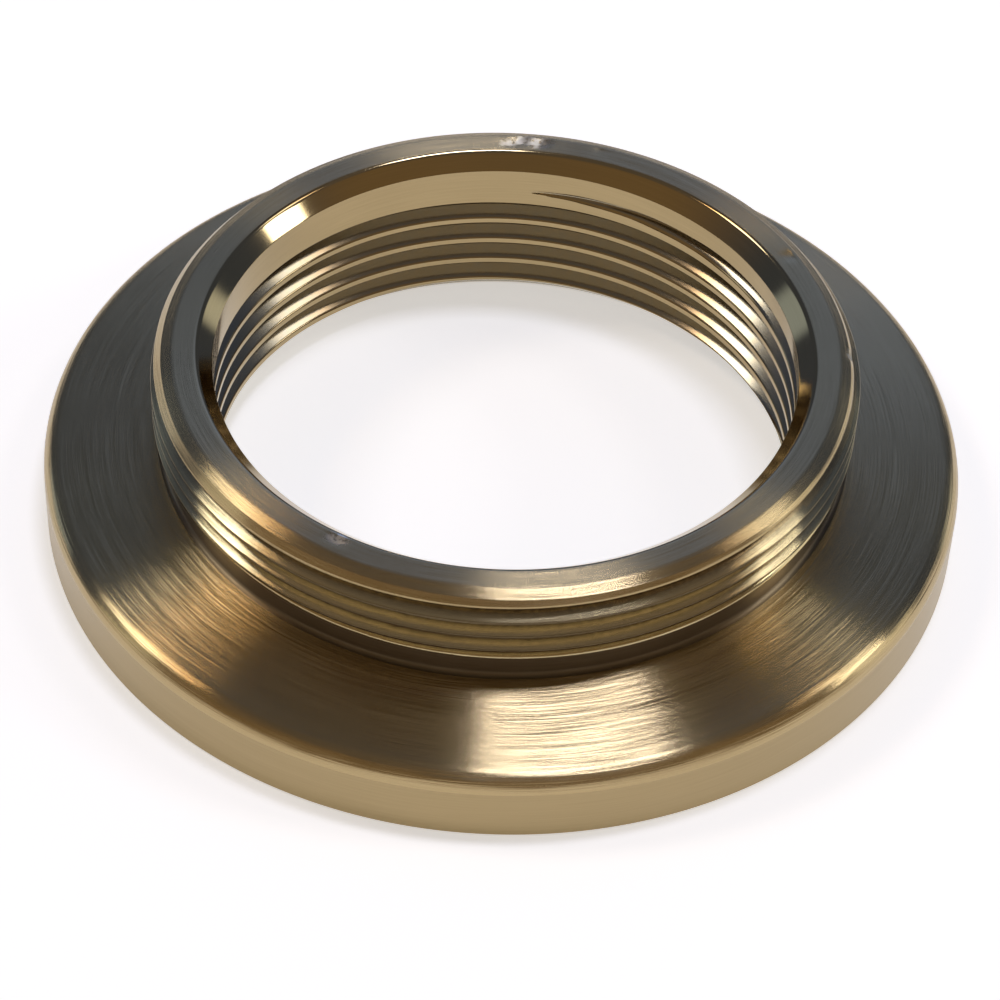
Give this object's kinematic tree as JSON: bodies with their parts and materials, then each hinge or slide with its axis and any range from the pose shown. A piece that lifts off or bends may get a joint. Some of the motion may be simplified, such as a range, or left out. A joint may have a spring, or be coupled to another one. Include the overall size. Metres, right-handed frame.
{
  "type": "tap escutcheon",
  "caption": "Turned brass ring with a gently sloping round flange and a short collar threaded inside and out, covering the hole around a tap body.",
  "frame": {"origin": "on the ring's axis, in the flat underside that rests on the deck", "axes": "+Z along the axis, from the underside up through the threaded collar"},
  "size_m": [0.05, 0.05, 0.0106],
  "materials": {
    "brushed_brass": "brushed round the flange, polished in the bore and on the threads"
  },
  "bodies": {
    "root": {"escutcheon_ring": "brushed_brass"}
  },
  "joints": []
}
